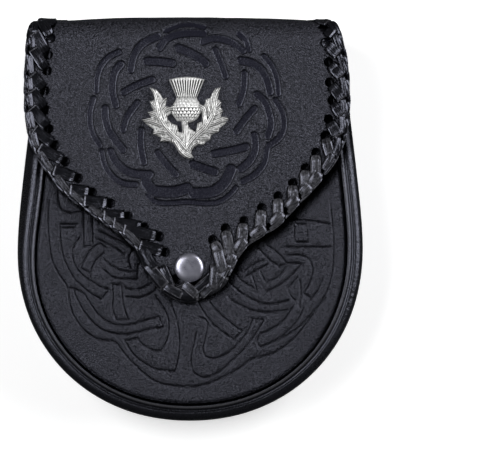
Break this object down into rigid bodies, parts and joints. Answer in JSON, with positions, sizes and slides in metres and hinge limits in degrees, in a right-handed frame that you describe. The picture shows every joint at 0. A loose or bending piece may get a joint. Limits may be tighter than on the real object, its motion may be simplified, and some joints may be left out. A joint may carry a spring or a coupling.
{
  "type": "sporran pouch",
  "caption": "Rounded black leather sporran pouch with a rolled rim, a laced flap over its top, a cast thistle badge, a snap, and loops on the back for a belt.",
  "frame": {"origin": "centre of the base of the bounding box, on the surface that the pouch lies on", "axes": "+X to the right seen from the front, +Y towards the fold at the top, +Z out of the front"},
  "size_m": [0.1778, 0.2072, 0.0496],
  "materials": {
    "panel_leather": "black embossed leather, finely grained, satin",
    "gusset_leather": "black soft leather, semi-gloss",
    "flap_leather": "black embossed leather, finely grained, satin",
    "lace_leather": "flat black leather lace, glossy",
    "cast_silver": "bright cast metal, dark in its recesses",
    "gunmetal": "satin gunmetal"
  },
  "bodies": {
    "root": {"back_panel": "panel_leather", "front_panel": "panel_leather", "gusset": "gusset_leather", "flap": "flap_leather", "edge_lace": "lace_leather", "belt_loop_left": "gusset_leather", "belt_loop_right": "gusset_leather", "thistle_badge": "cast_silver", "badge_nut": "cast_silver", "snap_cap": "gunmetal", "snap_socket": "gunmetal", "snap_stud": "gunmetal"}
  },
  "joints": []
}
